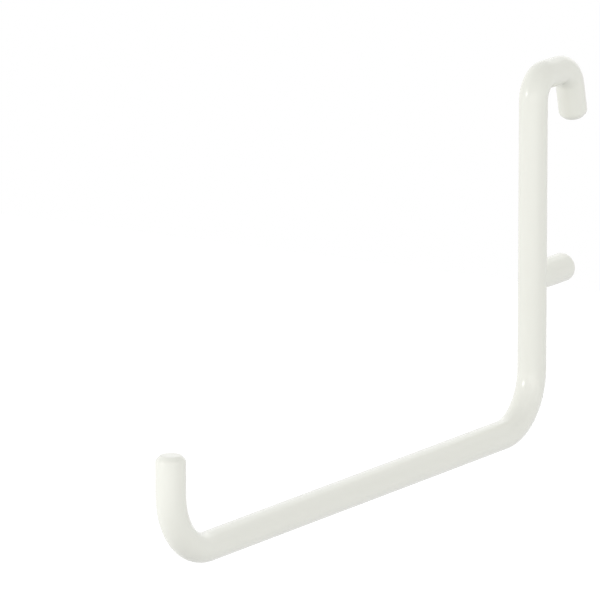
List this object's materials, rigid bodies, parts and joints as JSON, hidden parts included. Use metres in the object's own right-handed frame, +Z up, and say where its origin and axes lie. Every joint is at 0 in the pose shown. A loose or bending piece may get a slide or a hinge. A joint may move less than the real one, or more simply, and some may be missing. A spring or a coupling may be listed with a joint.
{
  "type": "pegboard hook",
  "caption": "Pegboard hook of bent round wire: level arm with upturned tip, upright stem, tight hook that drops behind the board and a short welded stud that seats in the slot below.",
  "frame": {"origin": "where the back of the stem meets the underside of the top bar: the front lower edge of the slot that the hook hangs in, on the hook's plane of symmetry", "axes": "+Z up, +Y into the board, the arm points along -Y; the board's front face is the plane y = 0 and the hook is symmetric about x = 0"},
  "size_m": [0.005, 0.1334, 0.066],
  "materials": {
    "powder_coated_wire": "smooth semi-gloss powder coat, warm white",
    "powder_coated_stud": "smooth semi-gloss powder coat, warm white"
  },
  "bodies": {
    "root": {"bent_wire": "powder_coated_wire", "locating_stud": "powder_coated_stud"}
  },
  "joints": []
}
